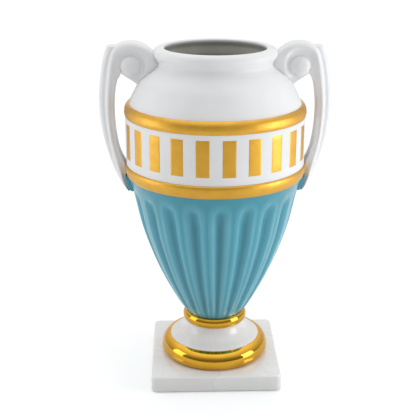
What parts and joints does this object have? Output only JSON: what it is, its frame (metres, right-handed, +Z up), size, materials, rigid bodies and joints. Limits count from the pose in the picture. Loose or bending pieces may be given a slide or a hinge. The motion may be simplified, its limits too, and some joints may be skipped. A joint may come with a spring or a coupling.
{
  "type": "amphora vase",
  "caption": "Two-handled amphora on a square plinth: white neck and frieze with gilt panels and bands, fluted turquoise bowl, scroll handles, gilt foot rings.",
  "frame": {"origin": "centre of the plane the vase stands on, at the underside of the felt pads", "axes": "+Z up along the vase's axis, handles on +X and -X, front on -Y"},
  "size_m": [0.233, 0.185, 0.3535],
  "materials": {
    "white_bisque": "unglazed bisque porcelain, satin-matte",
    "gloss_white": "white glaze, semi-gloss",
    "turquoise_glaze": "turquoise glaze, satin-gloss, thinner on the flute edges",
    "satin_gilt": "burnished satin gilding",
    "polished_gilt": "mirror-polished gilding",
    "steel": "zinc-plated, satin",
    "rubber": "matte black rubber",
    "felt": "dark grey pressed felt"
  },
  "bodies": {
    "root": {"felt_pad_front_left": "felt", "felt_pad_front_right": "felt", "felt_pad_back_left": "felt", "felt_pad_back_right": "felt", "plinth": "gloss_white", "foot_ring": "polished_gilt", "foot_spool": "gloss_white", "collar_ring": "polished_gilt", "bowl_seal": "rubber", "fluted_bowl": "turquoise_glaze", "lower_gilt_band": "satin_gilt", "frieze_drum": "white_bisque", "upper_gilt_band": "satin_gilt", "shoulder_neck": "white_bisque", "handle_right": "white_bisque", "handle_left": "white_bisque", "tie_rod": "steel", "lower_nut": "steel", "lower_washer": "steel", "floor_seal": "rubber", "upper_washer": "steel", "upper_nut": "steel"}
  },
  "joints": []
}
